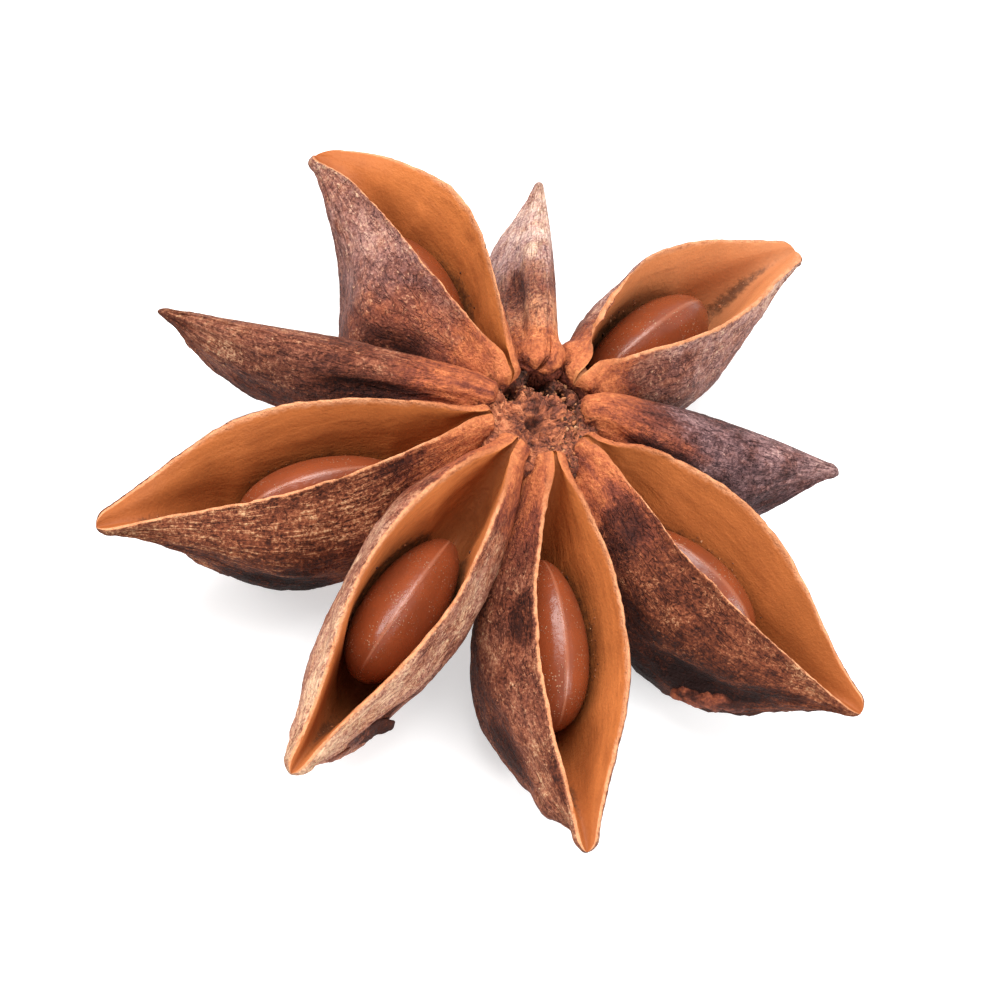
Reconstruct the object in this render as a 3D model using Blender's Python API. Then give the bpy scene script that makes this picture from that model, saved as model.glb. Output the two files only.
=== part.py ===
"""Star anise pod: nine boat-shaped carpels fused round a short column, like the rays of a star.

Six carpels have split along their upper seam and hold one seed each, three have stayed shut.
Lengths are in millimetres and angles in degrees until a mesh is made, which is in metres.
"""
import math
from collections import namedtuple

import bmesh
import bpy
from mathutils import Matrix, Vector

MM = 0.001

# The star: the radius of its inner ring, whose top is at height 0, and the level that it stands on
RING_RADIUS = 1.8
FLOOR = -8.8
STATIONS = 18

# How far neighbours reach into each other where they are fused
FUSED = 0.25

# The seam on top of a carpel: half of its width, how steeply the split widens from there, and the
# groove that is left where the carpel stays shut
SEAM = 0.12
SPLIT_SHARPNESS = 3.0
GROOVE = 0.25

# The wall of an open carpel: its lip, its side, and the keel that is left under the hollow
LIP = 0.42
WALL = 0.6
HOLLOW_SHARE = 0.84

# The rounded inner end of a carpel: its drop into the ring, and its length along the carpel
SHOULDER_DROP = 0.45
SHOULDER_SHARE = 0.06

# How deep and how wide a carpel is at its root and its tip, as shares of its greatest
ROOT_DEPTH = 0.58
TIP_DEPTH = 0.08
DEPTH_SHARPNESS = 3.5
ROOT_WIDTH = 0.30
TIP_WIDTH = 0.12
WIDTH_SHARPNESS = 2.8
WIDEST = 0.44

# Points down the side of a carpel, as shares of its half width and of its depth: the rounded top of
# a shut one, and the flank and the keel of every one
SHUT_SIDE = ((0.40, 0.05), (0.70, 0.13), (0.92, 0.26), (1.00, 0.42))
FLANK = ((0.90, 0.68), (0.52, 0.89), (0.13, 1.00))

# The column in the middle, whose top is sunk like a dish, and the stub of the stalk under it
COLUMN_RADIUS = 2.25
COLUMN_TOP = -1.2
COLUMN_DISH = 0.4
COLUMN_FOOT = -3.4
STALK_RADIUS = 1.3
STALK_TOP = -5.0
STALK_END = -6.2
COLUMN_SIDES = 18

# The seeds: flattened eggs that are thicker at their outer end, with a ridge along the top
SEED_WIDTH = 3.1
SEED_SWELL = 0.12
SEED_RIDGE = 0.12
SEED_RINGS = 10
SEED_SEGMENTS = 12

# One carpel. heading: direction of its seam, anticlockwise from +X. reach: from the column's axis to
# the tip. drop: how far the tip is below the ring. crest: rise of the seam between its ends.
# bow: sideways bend of the seam. gape: how far the left and the right lip have opened, with left
# and right as seen from the column, and widest: where along the carpel each has opened most.
# depth and width: greatest height and half width of the boat. belly: where it is deepest, as a
# share of its length. lean: how far the keel is pushed to the left.
Carpel = namedtuple("Carpel", "heading reach drop crest bow gape widest depth width belly lean")
SHUT = (0.0, 0.0)
EVEN = (0.5, 0.5)

CARPELS = {
    1: Carpel(148, 14.9, 2.8, 1.40, -0.40, (0.75, 2.05), (0.44, 0.64), 9.4, 2.75, 0.38, 0.35),
    2: Carpel(108, 14.0, 4.6, 0.25, -0.10, SHUT, EVEN, 5.9, 1.15, 0.52, 1.80),
    3: Carpel(69, 17.1, 4.0, 0.75, 0.45, (1.90, 1.50), (0.52, 0.57), 8.2, 2.70, 0.42, 0.15),
    4: Carpel(30, 13.4, 3.5, 0.55, -0.10, SHUT, EVEN, 6.3, 1.90, 0.48, -0.10),
    5: Carpel(-13, 17.0, 2.5, 0.70, -0.20, (2.70, 0.75), (0.48, 0.63), 8.3, 2.70, 0.52, -0.15),
    6: Carpel(-57, 17.3, 3.8, 0.75, -0.20, (2.15, 1.05), (0.50, 0.53), 8.2, 2.80, 0.45, 0.10),
    7: Carpel(-96, 17.9, 3.5, 1.40, -0.15, (1.45, 1.60), (0.51, 0.55), 8.6, 2.60, 0.54, 0.25),
    8: Carpel(-137, 17.6, 3.7, 1.05, 0.45, (0.50, 2.50), (0.55, 0.51), 8.7, 2.95, 0.38, 0.25),
    9: Carpel(-175, 15.1, 4.4, 0.30, 0.25, SHUT, EVEN, 5.4, 1.45, 0.56, -0.60),
}

# The seed of each open carpel. place: its middle as a share of the carpel's length.
# sink: its middle below the ring. pitch: how far its outer end dips.
Seed = namedtuple("Seed", "place sink pitch length height")

SEEDS = {
    1: Seed(0.45, 3.8, 6, 6.1, 4.2),
    3: Seed(0.43, 4.4, 10, 6.9, 4.6),
    5: Seed(0.45, 3.7, 12, 6.5, 4.4),
    6: Seed(0.42, 4.1, 13, 6.9, 4.6),
    7: Seed(0.45, 3.7, 8, 6.9, 4.2),
    8: Seed(0.42, 4.0, 12, 6.9, 4.7),
}


def bell(share, peak, sharpness):
    """A hump over 0..1 that is 0 at both ends and 1 at its peak."""
    share = min(max(share, 1e-6), 1 - 1e-6)
    rise = sharpness * peak
    fall = sharpness * (1 - peak)
    return (share / peak) ** rise * ((1 - share) / (1 - peak)) ** fall


def swell(share, start, end, peak, sharpness):
    """A bell that stands on a straight line from start to end and reaches 1 at its peak."""
    base = start + (end - start) * share
    return base + (1 - base) * bell(share, peak, sharpness)


def blend(share, start, end):
    """A smooth step from 0 at start to 1 at end."""
    share = min(max((share - start) / (end - start), 0.0), 1.0)
    return share * share * (3 - 2 * share)


def larger(first, second, softness=0.15):
    """The larger of two sizes, with the change from one to the other rounded off."""
    return 0.5 * (first + second + math.hypot(first - second, softness))


def smaller(first, second, softness=0.15):
    """The smaller of two sizes, rounded off in the same way."""
    return -larger(-first, -second, softness)


def half_sector(number):
    """Half of the angle, in radians, that a carpel has between its two neighbours."""
    before = CARPELS[(number - 2) % len(CARPELS) + 1].heading
    after = CARPELS[number % len(CARPELS) + 1].heading
    return math.radians((before - after) % 360) / 4


def seam_point(carpel, share):
    """Distance from the axis, sideways bend and height of the seam at a share of its length."""
    arch = 4 * share * (1 - share)
    shoulder = SHOULDER_DROP * (1 - blend(share, 0.0, SHOULDER_SHARE))
    radius = RING_RADIUS + (carpel.reach - RING_RADIUS) * share
    return radius, carpel.bow * arch, carpel.crest * arch - carpel.drop * share - shoulder


def half_section(number, share, half):
    """Outer and inner wall of the left half, 0, or right half, 1, as points from the lip down."""
    carpel = CARPELS[number]
    radius = seam_point(carpel, share)[0]
    depth = carpel.depth * swell(share, ROOT_DEPTH, TIP_DEPTH, carpel.belly, DEPTH_SHARPNESS)
    width = carpel.width * swell(share, ROOT_WIDTH, TIP_WIDTH, WIDEST, WIDTH_SHARPNESS)
    width = smaller(width, radius * math.tan(half_sector(number)) + FUSED)
    flank = [(wide * width, -deep * depth) for wide, deep in FLANK]
    if number not in SEEDS:
        side = [(wide * width, -deep * depth) for wide, deep in SHUT_SIDE]
        return [(0.5 * SEAM, 0.0)] + side + flank, [(0.0, -GROOVE)]
    thin = blend(share, 0.6, 1.0)
    lip = LIP * (1 - 0.25 * thin)
    wall = WALL * (1 - 0.5 * thin)
    edge = SEAM + carpel.gape[half] * bell(share, carpel.widest[half], SPLIT_SHARPNESS)
    side = [
        (edge, 0.0),
        (edge + 0.6 * lip, -0.01 * depth),
        (edge + lip, -0.05 * depth - 0.05),
        (larger(0.97 * width, edge + 1.05 * lip), -0.25 * depth),
        (larger(width, edge + 0.8 * lip), -0.42 * depth),
    ]
    room = larger(width - wall, 0.98 * edge, 0.1)
    hollow = depth * (0.05 + (HOLLOW_SHARE - 0.05) * blend(share, 0.0, 0.18) - 0.35 * thin)
    inner = [
        (0.6 * edge + 0.4 * room, -0.2 * hollow),
        (room, -0.5 * hollow),
        (max(0.86 * width - wall, 0.4 * room), -0.82 * hollow),
        (0.0, -hollow),
    ]
    return side + flank, inner


def hollow_middle(number, share):
    """Sideways place of the middle of a carpel's hollow, at half of its depth."""
    carpel = CARPELS[number]
    left = half_section(number, share, 0)[1][1]
    right = half_section(number, share, 1)[1][1]
    push = carpel.lean * -left[1] / carpel.depth
    return seam_point(carpel, share)[1] + push + 0.5 * (left[0] - right[0])


def carpel_ring(number, share):
    """One closed cross-section of a carpel, as points in the star."""
    carpel = CARPELS[number]
    outer_left, inner_left = half_section(number, share, 0)
    outer_right, inner_right = half_section(number, share, 1)
    ring = list(outer_left)
    ring += [(-side, height) for side, height in reversed(outer_right)]
    ring += [(-side, height) for side, height in inner_right]
    ring += reversed(inner_left[:-1])
    radius, bend, top = seam_point(carpel, share)
    turn = Matrix.Rotation(math.radians(carpel.heading), 3, "Z")
    points = []
    for side, height in ring:
        push = carpel.lean * -height / carpel.depth
        points.append(turn @ Vector((radius, bend + side + push, max(top + height, FLOOR))))
    return points


def carpel_rings(number):
    """All cross-sections of a carpel, closer together at its root and its tip."""
    shares = [0.5 - 0.5 * math.cos(math.pi * step / STATIONS) for step in range(STATIONS + 1)]
    return [carpel_ring(number, share) for share in shares]


def column_rings():
    """Cross-sections of the column, from the middle of its sunken top down to the stalk's end."""
    outline = [
        (0.35 * RING_RADIUS, COLUMN_TOP - COLUMN_DISH),
        (0.80 * RING_RADIUS, COLUMN_TOP - 0.4 * COLUMN_DISH),
        (COLUMN_RADIUS, COLUMN_TOP),
        (COLUMN_RADIUS, COLUMN_FOOT),
        (STALK_RADIUS, STALK_TOP),
        (STALK_RADIUS, STALK_END),
    ]
    angles = [2 * math.pi * side / COLUMN_SIDES for side in range(COLUMN_SIDES)]
    rings = []
    for radius, height in outline:
        rings.append([Vector((radius * math.cos(a), radius * math.sin(a), height)) for a in angles])
    return rings


def mesh_in_metres(name, shape):
    """A mesh from a shape in millimetres, which is freed."""
    bmesh.ops.recalc_face_normals(shape, faces=shape.faces)
    bmesh.ops.scale(shape, vec=(MM, MM, MM), verts=shape.verts)
    mesh = bpy.data.meshes.new(name)
    shape.to_mesh(mesh)
    shape.free()
    return mesh


def skin_mesh(name, rings):
    """A closed mesh over a row of rings, with a flat end at the first and the last."""
    shape = bmesh.new()
    loops = [[shape.verts.new(point) for point in ring] for ring in rings]
    for here, there in zip(loops, loops[1:]):
        for index in range(len(here)):
            after = (index + 1) % len(here)
            shape.faces.new((here[index], here[after], there[after], there[index]))
    shape.faces.new(loops[0])
    shape.faces.new(loops[-1])
    shape.normal_update()
    bmesh.ops.triangulate(shape, faces=[face for face in shape.faces if len(face.verts) > 4])
    return mesh_in_metres(name, shape)


def seed_mesh(name, number):
    """A seed on its edge in the hollow of its carpel."""
    seed = SEEDS[number]
    shape = bmesh.new()
    bmesh.ops.create_uvsphere(shape, u_segments=SEED_SEGMENTS, v_segments=SEED_RINGS, radius=1.0)
    for vert in shape.verts:
        along, side, up = vert.co.z, vert.co.y, vert.co.x
        ridge = SEED_RIDGE * max(up, 0.0) ** 4 * (1 - along * along)
        thick = 1 + SEED_SWELL * along
        vert.co = Vector((
            0.5 * seed.length * along,
            0.5 * SEED_WIDTH * thick * side,
            0.5 * seed.height * thick * up + ridge,
        ))
    carpel = CARPELS[number]
    radius = seam_point(carpel, seed.place)[0]
    place = Matrix.Rotation(math.radians(carpel.heading), 4, "Z")
    place @= Matrix.Translation((radius, hollow_middle(number, seed.place), -seed.sink))
    place @= Matrix.Rotation(math.radians(seed.pitch), 4, "Y")
    bmesh.ops.transform(shape, matrix=place, verts=shape.verts)
    return mesh_in_metres(name, shape)


def material(name, colour, roughness):
    surface = bpy.data.materials.new(name)
    surface.use_nodes = True
    shader = surface.node_tree.nodes["Principled BSDF"]
    shader.inputs["Base Color"].default_value = (*colour, 1.0)
    shader.inputs["Roughness"].default_value = roughness
    shader.inputs["Metallic"].default_value = 0.0
    return surface


def add_object(name, mesh, location):
    thing = bpy.data.objects.new(name, mesh)
    thing.location = location
    bpy.context.scene.collection.objects.link(thing)
    return thing


def middle_of_base(rings):
    """The middle of the box round all rings, at the level of its base, in metres."""
    points = [point for ring in rings for point in ring]
    middle = [0.5 * (min(p[axis] for p in points) + max(p[axis] for p in points)) for axis in (0, 1)]
    return Vector((*middle, min(p.z for p in points))) * MM


for old in list(bpy.data.objects):
    bpy.data.objects.remove(old)

carpel_shapes = {number: carpel_rings(number) for number in CARPELS}
origin = middle_of_base([ring for rings in carpel_shapes.values() for ring in rings])

pod = add_object("pod", skin_mesh("pod", column_rings()), -origin)
pod.data.materials.append(material("dried_pod", (0.24, 0.09, 0.045), 0.75))
for number, rings in carpel_shapes.items():
    carpel = add_object(f"carpel_{number}", skin_mesh(f"carpel_{number}", rings), -origin)
    carpel.hide_render = True
    carpel.display_type = "WIRE"
    fusing = pod.modifiers.new(f"carpel_{number}", "BOOLEAN")
    fusing.operation = "UNION"
    # The exact solver loses the star when the seventh carpel is added
    fusing.solver = "MANIFOLD"
    fusing.object = carpel

seed_coat = material("seed_coat", (0.30, 0.07, 0.02), 0.2)
for number in SEEDS:
    seed_object = add_object(f"seed_{number}", seed_mesh(f"seed_{number}", number), -origin)
    seed_object.data.shade_smooth()
    seed_object.data.materials.append(seed_coat)
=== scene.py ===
import math
from collections import namedtuple
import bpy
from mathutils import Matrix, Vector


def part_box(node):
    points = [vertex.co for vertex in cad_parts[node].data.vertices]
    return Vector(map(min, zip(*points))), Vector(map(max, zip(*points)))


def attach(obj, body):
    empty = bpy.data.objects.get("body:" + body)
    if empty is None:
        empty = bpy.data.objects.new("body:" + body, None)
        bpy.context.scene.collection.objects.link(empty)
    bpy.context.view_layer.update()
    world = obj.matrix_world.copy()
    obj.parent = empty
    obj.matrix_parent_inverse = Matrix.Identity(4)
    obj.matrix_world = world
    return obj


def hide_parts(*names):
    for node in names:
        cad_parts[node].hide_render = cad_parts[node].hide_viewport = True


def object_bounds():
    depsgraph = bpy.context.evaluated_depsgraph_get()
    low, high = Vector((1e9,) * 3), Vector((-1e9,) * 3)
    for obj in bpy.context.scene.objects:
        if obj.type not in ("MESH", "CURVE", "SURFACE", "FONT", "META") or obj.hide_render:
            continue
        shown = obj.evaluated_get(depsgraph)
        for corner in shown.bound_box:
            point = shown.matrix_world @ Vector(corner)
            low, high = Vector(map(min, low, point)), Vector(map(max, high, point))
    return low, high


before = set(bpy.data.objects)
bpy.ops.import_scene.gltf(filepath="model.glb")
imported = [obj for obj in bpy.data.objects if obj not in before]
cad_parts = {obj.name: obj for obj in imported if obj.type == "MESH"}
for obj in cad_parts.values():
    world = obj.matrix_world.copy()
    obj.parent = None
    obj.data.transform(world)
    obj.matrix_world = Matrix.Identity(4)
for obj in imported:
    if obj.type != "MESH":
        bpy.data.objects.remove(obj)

from types import SimpleNamespace

import bpy
import numpy as np
from mathutils import Matrix, Vector

cad_low, cad_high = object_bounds()

# ------------------------ the carpels
# Nine woody husks shaped like boats, fused by their roots round the column like the rays of a star.
# Six have split along the seam on top and show a smooth lining, three have stayed shut. The skin is
# dried and wrinkled, and the split lips are the pale cut edge of the wall. Lengths are in mm.

MM = 0.001
RING_RADIUS = 1.8
FLOOR = -8.8
FUSED = 0.25
SEAM = 0.12
SPLIT_SHARPNESS = 3.0
GROOVE = 0.25
WALL = 0.6
HOLLOW_SHARE = 0.84
SHOULDER_DROP = 0.45
SHOULDER_SHARE = 0.06
ROOT_DEPTH = 0.58
TIP_DEPTH = 0.08
DEPTH_SHARPNESS = 3.5
TIP_WIDTH = 0.15
WIDTH_SHARPNESS = 2.8
WIDEST = 0.44
SHUT_SIDE = ((0.4, 0.05), (0.7, 0.13), (0.92, 0.26), (1.0, 0.42))
FLANK = ((0.9, 0.68), (0.52, 0.89), (0.13, 1.0))

# A carpel is rounded at its root over a length of ROOT_END, on a share ROOT_ROWS of its rows of
# points, and at its blunt beak from a share BEAK of its length to BEAK_END past the whole
ROOT_END = 0.3
ROOT_ROWS = 0.08
BEAK = 0.972
BEAK_END = 0.16

# heading: direction of the seam, anticlockwise from +X. reach: from the axis to the tip.
# drop: how far the tip is below the ring. crest: rise of the seam between its ends.
# bow: sideways bend of the seam. gape: how far the left and the right lip have opened, as seen from
# the column, and widest: where along the carpel. depth and width: height and half width.
# belly: where it is deepest. lean: how far the keel is pushed to the left.
Carpel = namedtuple("Carpel", "heading reach drop crest bow gape widest depth width belly lean")
SHUT = (0.0, 0.0)
EVEN = (0.5, 0.5)
CARPELS = {
    1: Carpel(148, 14.9, 2.8, 1.42, -0.40, (0.92, 2.16), (0.44, 0.665), 9.55, 2.75, 0.38, 0.35),
    2: Carpel(108, 14.0, 4.6, 0.25, -0.10, SHUT, EVEN, 5.9, 1.15, 0.52, 1.80),
    3: Carpel(69, 17.1, 4.0, 0.75, 0.45, (2.04, 1.60), (0.54, 0.57), 8.2, 2.75, 0.44, 0.15),
    4: Carpel(30, 13.4, 3.5, 0.66, -0.10, SHUT, EVEN, 6.3, 1.95, 0.52, -0.10),
    5: Carpel(-13, 16.9, 2.5, 0.70, -0.20, (2.82, 0.75), (0.46, 0.63), 8.1, 2.70, 0.52, -0.15),
    6: Carpel(-57, 17.3, 3.8, 0.75, -0.20, (2.20, 1.05), (0.51, 0.53), 8.2, 2.80, 0.45, 0.10),
    7: Carpel(-96, 17.9, 3.5, 1.40, -0.15, (1.47, 1.67), (0.51, 0.45), 8.6, 2.60, 0.54, 0.25),
    8: Carpel(-137, 17.6, 3.7, 1.05, 0.45, (0.72, 2.60), (0.55, 0.545), 8.4, 2.90, 0.38, 0.25),
    9: Carpel(-175, 15.1, 4.4, 0.44, 0.25, SHUT, EVEN, 5.3, 1.45, 0.56, -0.60),
}

# root: how near the axis its rounded finger ends, and sway: how far to the left. stout: half width
# of the root as a share of the whole. lips: thickness of the left and the right lip. beak: how far
# the lips stay apart at the tip.
Detail = namedtuple("Detail", "root sway stout lips beak")
DETAILS = {
    1: Detail(1.80, 0.00, 0.36, (0.22, 0.26), 0.30),
    2: Detail(2.30, -0.10, 0.90, EVEN, 0.0),
    3: Detail(2.45, 0.20, 0.50, (0.28, 0.30), 0.28),
    4: Detail(1.90, 0.50, 0.48, EVEN, 0.0),
    5: Detail(1.85, 0.40, 0.40, (0.26, 0.24), 0.22),
    6: Detail(1.70, 0.25, 0.36, (0.26, 0.34), 0.16),
    7: Detail(1.50, -0.06, 0.36, (0.38, 0.40), 0.12),
    8: Detail(1.85, -0.24, 0.36, (0.28, 0.28), 0.20),
    9: Detail(1.75, 0.00, 0.60, EVEN, 0.0),
}

# The seed that each open carpel's hollow is shaped round, with a gap of SEED_GAP beside it. share:
# how far along the carpel its middle is. pitch: how far its outer end dips, in degrees.
SEED_WIDTH = 3.1
SEED_GAP = 0.14
Seed = namedtuple("Seed", "share pitch length height")
SEEDS = {
    1: Seed(0.45, 6, 6.1, 4.2),
    3: Seed(0.43, 10, 6.9, 4.6),
    5: Seed(0.45, 12, 6.5, 4.4),
    6: Seed(0.42, 13, 6.9, 4.6),
    7: Seed(0.45, 8, 6.9, 4.2),
    8: Seed(0.42, 12, 6.9, 4.7),
}

# How many rows of points a carpel's skin has along it and round it, and how near two points are
# joined, in metres
OPEN_POINTS = (146, 264)
SHUT_POINTS = (130, 170)
WELD = 6e-7

# The column's axis stands a little beside the middle of the pod's box
AXIS_OFFSET = Vector((-0.807, 0.857, -FLOOR)) * MM
pod_low, pod_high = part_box("pod")
ring_middle = Vector((
    0.5 * (pod_low.x + pod_high.x), 0.5 * (pod_low.y + pod_high.y), pod_low.z,
)) + AXIS_OFFSET


def sign(operation):
    """A sign of the Value class, and its reflected form, where the value comes second."""
    return (lambda value, other: value.join(operation, value, other),
            lambda value, other: value.join(operation, other, value))


class Value:
    """A number or a vector that a node gives. An expression on it adds the nodes to do it."""

    def __init__(self, socket):
        self.socket = socket

    def node(self, kind, settings=None, values=None, give=0):
        return add_node(self.socket.id_data, kind, settings, values, give)

    def join(self, operation, first, second=None):
        pair = [item for item in (first, second) if item is not None]
        kind = "ShaderNodeVectorMath" if any(is_wide(item) for item in pair) else "ShaderNodeMath"
        return self.node(kind, {"operation": operation}, dict(enumerate(pair)))

    __add__, __radd__ = sign("ADD")
    __sub__, __rsub__ = sign("SUBTRACT")
    __mul__, __rmul__ = sign("MULTIPLY")
    __truediv__, __rtruediv__ = sign("DIVIDE")
    __pow__, __rpow__ = sign("POWER")
    at_least, at_most = sign("MAXIMUM")[0], sign("MINIMUM")[0]

    def __neg__(self):
        return self * -1

    def __abs__(self):
        return self.join("ABSOLUTE", self)

    def sine(self):
        return self.join("SINE", self)

    def cosine(self):
        return self.join("COSINE", self)

    def parts(self):
        """The three parts of a vector."""
        first = self.node("ShaderNodeSeparateXYZ", values={0: self})
        return [Value(socket) for socket in first.socket.node.outputs]


def is_wide(item):
    """True for a vector or a colour, which a Math node would turn into one number."""
    if isinstance(item, Value):
        return item.socket.type in {"VECTOR", "RGBA"}
    return isinstance(item, (tuple, Vector))


def add_node(tree, kind, settings=None, values=None, give=0):
    """A node of any kind: its settings are set first, then the values or links of its sockets."""
    node = tree.nodes.new(kind)
    for name, setting in (settings or {}).items():
        if name == "stops":
            elements = node.color_ramp.elements
            while len(elements) < len(setting):
                elements.new(0.5)
            for element, (place, colour) in zip(elements, setting):
                element.position = place
                element.color = (*colour, 1)
        else:
            setattr(node, name, setting)
    for place, value in (values or {}).items():
        socket = node.inputs[place]
        if isinstance(value, Value):
            tree.links.new(value.socket, socket)
        elif socket.type == "RGBA" and len(value) == 3:
            socket.default_value = (*value, 1.0)
        elif socket.type == "VECTOR" and isinstance(value, (int, float)):
            socket.default_value = (value,) * 3
        else:
            socket.default_value = value
    return Value(node.outputs[give])


def first_value(*items):
    """The first of these that a node gives, which says what tree the next node belongs in."""
    return next(item for item in items if isinstance(item, Value))


def vector(x, y, z):
    """A vector from three numbers, at least one of them a node's value."""
    return first_value(x, y, z).node("ShaderNodeCombineXYZ", values={0: x, 1: y, 2: z})


def rise(value, start, end, low=0, high=1, kind="SMOOTHSTEP"):
    """Goes from low to high while the value goes from start to end, and stays there outside."""
    return value.node(
        "ShaderNodeMapRange", {"interpolation_type": kind},
        {"Value": value, "From Min": start, "From Max": end, "To Min": low, "To Max": high},
    )


def ramp(value, start, end, low=0, high=1):
    """The same in a straight line."""
    return rise(value, start, end, low, high, "LINEAR")


def between(mask, low, high):
    """low where the mask is 0 and high where it is 1, for numbers and colours."""
    colours = is_wide(low) or is_wide(high)
    kind, first = ("RGBA", 6) if colours else ("FLOAT", 2)
    return first_value(mask, low, high).node(
        "ShaderNodeMix", {"data_type": kind, "clamp_factor": True},
        {0: mask, first: low, first + 1: high}, 2 if colours else 0,
    )


def grain_of(place, scale, detail=2, roughness=0.5, twist=0):
    """Noise from about -1 to 1 over a vector in mm, with scale as its waves for a mm."""
    noise = place.node(
        "ShaderNodeTexNoise", {"normalize": True},
        {"Vector": place * scale, "Scale": 1, "Detail": detail, "Roughness": roughness,
         "Distortion": twist},
    )
    return ramp(noise, 0.2, 0.8, -1, 1)


def bell(share, peak, sharpness):
    """A hump over 0 to 1 that is 0 at both ends and 1 at its peak."""
    share = ramp(share, 1e-5, 1 - 1e-5, 1e-5, 1 - 1e-5)
    before = (share / peak) ** (sharpness * peak)
    return before * ((1 - share) / (1 - peak)) ** (sharpness * (1 - peak))


def swell(share, start, end, peak, sharpness):
    """A bell that stands on a straight line from start to end and reaches 1 at its peak."""
    base = start + (end - start) * share
    return base + (1 - base) * bell(share, peak, sharpness)


def larger(first, second, softness=0.15):
    """The larger of two sizes, with the change from one to the other rounded off."""
    gap = first - second
    return 0.5 * (first + second + (gap * gap + softness**2) ** 0.5)


def smaller(first, second, softness=0.15):
    """The smaller of two sizes, rounded off in the same way."""
    return -larger(-first, -second, softness)


def rounded_path(step, corners):
    """A point on the smooth path that has a corner after each half step, as side and height."""
    side = height = 0
    for number, (corner_side, corner_height) in enumerate(corners):
        away = abs(step - (number - 0.5))
        near = away.at_most(0.5)
        far = ramp(away, 0.5, 1.5, 1, 0)
        weight = 0.25 - near * near + 0.5 * far * far
        side = side + weight * corner_side
        height = height + weight * corner_height
    return side, height


def new_tree(name, sizes):
    """A geometry tree with a named input for each size, and the value of each under its name."""
    tree = bpy.data.node_groups.new(name, "GeometryNodeTree")
    tree.is_modifier = True
    for size in sizes:
        kind = {"Place": "Vector", "Material": "Material", "Ground": "Object"}.get(size, "Float")
        tree.interface.new_socket(size, in_out="INPUT", socket_type="NodeSocket" + kind)
    tree.interface.new_socket("Geometry", in_out="OUTPUT", socket_type="NodeSocketGeometry")
    inputs = tree.nodes.new("NodeGroupInput").outputs[:-1]
    return tree, SimpleNamespace(**{
        socket.name.lower().replace(" ", "_"): Value(socket) for socket in inputs})


def grid(tree, size):
    """A sheet of so many rows and columns of points, and each point's place along and across it."""
    sheet = add_node(tree, "GeometryNodeMeshGrid", values={
        "Size X": 1, "Size Y": 1, "Vertices X": size[0], "Vertices Y": size[1]})
    along, across, _ = sheet.node("GeometryNodeInputPosition").parts()
    return sheet, along + 0.5, across


def keep(shape, name, value, kind="FLOAT", domain="POINT"):
    """Stores a value on every point of the shape, for its relief and its material."""
    return shape.node(
        "GeometryNodeStoreNamedAttribute", {"data_type": kind, "domain": domain},
        {"Geometry": shape, "Name": name, "Value": value},
    )


def kept(shape, name, kind="FLOAT"):
    return shape.node("GeometryNodeInputNamedAttribute", {"data_type": kind}, {"Name": name})


def change(shape, kind, **sockets):
    """The shape after a node of that kind."""
    return shape.node(kind, values={"Geometry": shape, **sockets})


def move(shape, offset):
    return change(shape, "GeometryNodeSetPosition", Offset=offset)


def place_at(shape, position):
    return change(shape, "GeometryNodeSetPosition", Position=position)


def place_now(shape):
    return shape.node("GeometryNodeInputPosition")


def outward(shape):
    return shape.node("GeometryNodeInputNormal")


def turn_about(spot, axis, degrees):
    return spot.node("ShaderNodeVectorRotate", {"rotation_type": f"{axis}_AXIS"}, {
        "Vector": spot, "Angle": degrees * math.radians(1)})


def weld(shape, distance=WELD):
    """Joins the points that meet where a sheet is closed."""
    return change(shape, "GeometryNodeMergeByDistance", Distance=distance)


def end_tree(tree, shape, material):
    """Closes a tree: one real mesh with smooth faces and its material."""
    shape = change(shape, "GeometryNodeRealizeInstances")
    shape = change(shape, "GeometryNodeSetShadeSmooth")
    shape = change(shape, "GeometryNodeSetMaterial", Material=material)
    result = tree.nodes.new("NodeGroupOutput")
    tree.links.new(shape.socket, result.inputs[0])


def show(name, data):
    """An object of that name in the scene."""
    item = bpy.data.objects.new(name, data)
    bpy.context.scene.collection.objects.link(item)
    return item


def grow(name, tree, sizes):
    """Runs a tree with these sizes. Its result is the plain mesh of an object of that name."""
    seedling = show(name, bpy.data.meshes.new(name))
    modifier = seedling.modifiers.new("grow", "NODES")
    modifier.node_group = tree
    for item in tree.interface.items_tree:
        if item.in_out == "INPUT" and item.name in sizes:
            modifier[item.identifier] = sizes[item.name]
    grown = seedling.evaluated_get(bpy.context.evaluated_depsgraph_get())
    mesh = bpy.data.meshes.new_from_object(grown)
    seedling.modifiers.clear()
    seedling.data = mesh
    mesh.name = name
    return seedling


def sizes_of(row):
    """A row's sizes by the names of a tree's inputs. A pair is for the left and the right."""
    sizes = {}
    for field, value in row._asdict().items():
        title = field.replace("_", " ").title()
        if isinstance(value, tuple):
            sizes[f"{title} Left"], sizes[f"{title} Right"] = value
        else:
            sizes[title] = value
    return sizes


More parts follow.
